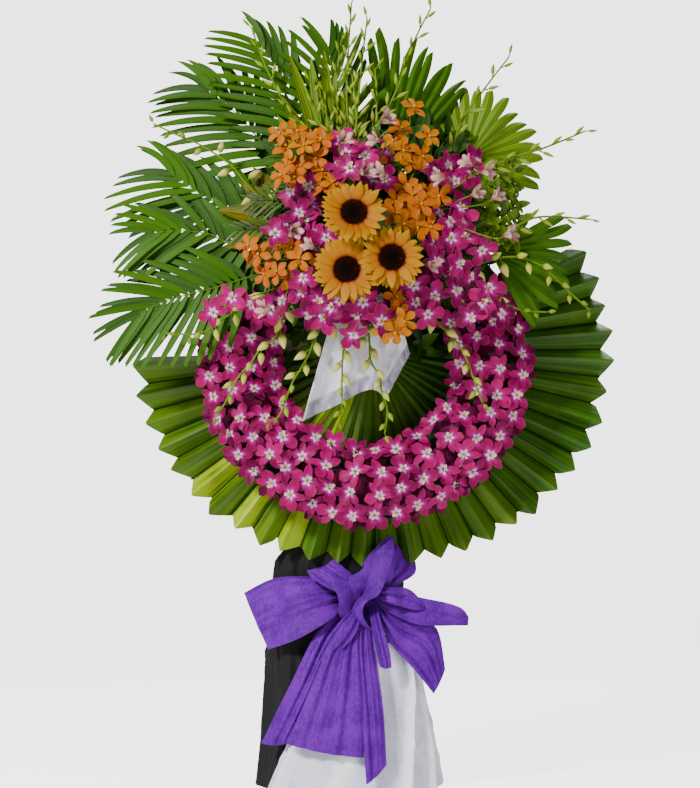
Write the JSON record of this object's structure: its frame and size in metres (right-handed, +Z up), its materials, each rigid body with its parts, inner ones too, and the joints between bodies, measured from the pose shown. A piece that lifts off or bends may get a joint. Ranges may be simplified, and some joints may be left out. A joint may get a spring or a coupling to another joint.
{
  "type": "funeral flower stand",
  "caption": "Funeral flower stand: orchid ring on a pleated palm-leaf rosette under a spray of sunflowers, orchids and palm fronds, on a tripod dressed in cloth with a bow.",
  "frame": {"origin": "on the floor under the middle of the object's bounding box", "axes": "+Z up, the flowers face -Y, +X to the right as seen from the front"},
  "size_m": [1.1153, 0.5198, 1.6438],
  "materials": {
    "pale_wood": "round poles, sanded, unpainted",
    "steel_wire": "plain drawn wire",
    "plywood": "sanded plywood",
    "floral_foam": "fine crumbly foam soaked with water",
    "fan_palm_leaf": "fresh pleated leaf, waxy, ribbed along the pleats",
    "feather_palm_leaf": "fresh narrow leaflets, satin",
    "pale_leaf": "yellow-green leaf with paler stripes",
    "dark_leaf": "dark fern and broad leaf",
    "magenta_petal": "orchid petal, magenta with a white throat",
    "orange_petal": "orchid petal, orange with darker speckle",
    "sunflower_ray": "yellow ray, orange at its root",
    "sunflower_disc": "dark brown florets",
    "orchid_bud": "green stem and cream to green buds",
    "black_cloth": "plain woven cloth",
    "white_cloth": "embossed non-woven cloth, slightly see-through",
    "purple_ribbon": "non-woven ribbon, slightly see-through",
    "white_paper": "stiff wrapping paper with a crumpled lilac-grey hem"
  },
  "bodies": {
    "root": {"backing_board": "plywood", "black_skirt": "black_cloth", "broad_leaf_left": "dark_leaf", "broad_leaf_right": "pale_leaf", "bud_spike_left": "orchid_bud", "bud_spikes_right": "orchid_bud", "bud_spikes_top": "orchid_bud", "bud_spray_hanging_left": "orchid_bud", "bud_spray_hanging_middle": "orchid_bud", "bud_spray_hanging_right": "orchid_bud", "fan_leaf_1": "fan_palm_leaf", "fan_leaf_2": "fan_palm_leaf", "fan_leaf_3": "fan_palm_leaf", "foam_block": "floral_foam", "magenta_orchids_left": "magenta_petal", "magenta_orchids_lower_left": "magenta_petal", "magenta_orchids_lower_right": "magenta_petal", "magenta_orchids_right": "magenta_petal", "magenta_orchids_top": "magenta_petal", "orange_orchids_left": "orange_petal", "orange_orchids_lower": "orange_petal", "orange_orchids_right": "orange_petal", "orange_orchids_upper_left": "orange_petal", "orange_orchids_upper_right": "orange_petal", "pale_leaves_top": "pale_leaf", "palm_frond_1": "feather_palm_leaf", "palm_frond_2": "feather_palm_leaf", "palm_frond_3": "feather_palm_leaf", "palm_frond_4": "feather_palm_leaf", "palm_frond_5": "feather_palm_leaf", "palm_frond_6": "feather_palm_leaf", "paper_sheet": "white_paper", "purple_bow": "purple_ribbon", "ring_orchids_1": "magenta_petal", "ring_orchids_2": "magenta_petal", "ring_orchids_3": "magenta_petal", "ring_orchids_4": "magenta_petal", "ring_orchids_5": "magenta_petal", "ring_orchids_6": "magenta_petal", "rosette_leaf_1": "fan_palm_leaf", "rosette_leaf_2": "fan_palm_leaf", "rosette_leaf_3": "fan_palm_leaf", "rosette_leaf_4": "fan_palm_leaf", "rosette_leaf_5": "fan_palm_leaf", "rosette_leaf_6": "fan_palm_leaf", "sunflower_1": "sunflower_ray", "sunflower_2": "sunflower_ray", "sunflower_3": "sunflower_ray", "sunflower_disc_1": "sunflower_disc", "sunflower_disc_2": "sunflower_disc", "sunflower_disc_3": "sunflower_disc", "tripod_head": "pale_wood", "tripod_hoop": "steel_wire", "tripod_leg_left": "pale_wood", "tripod_leg_rear": "pale_wood", "tripod_leg_right": "pale_wood", "white_skirt": "white_cloth", "wreath_foam_ring": "floral_foam"}
  },
  "joints": []
}
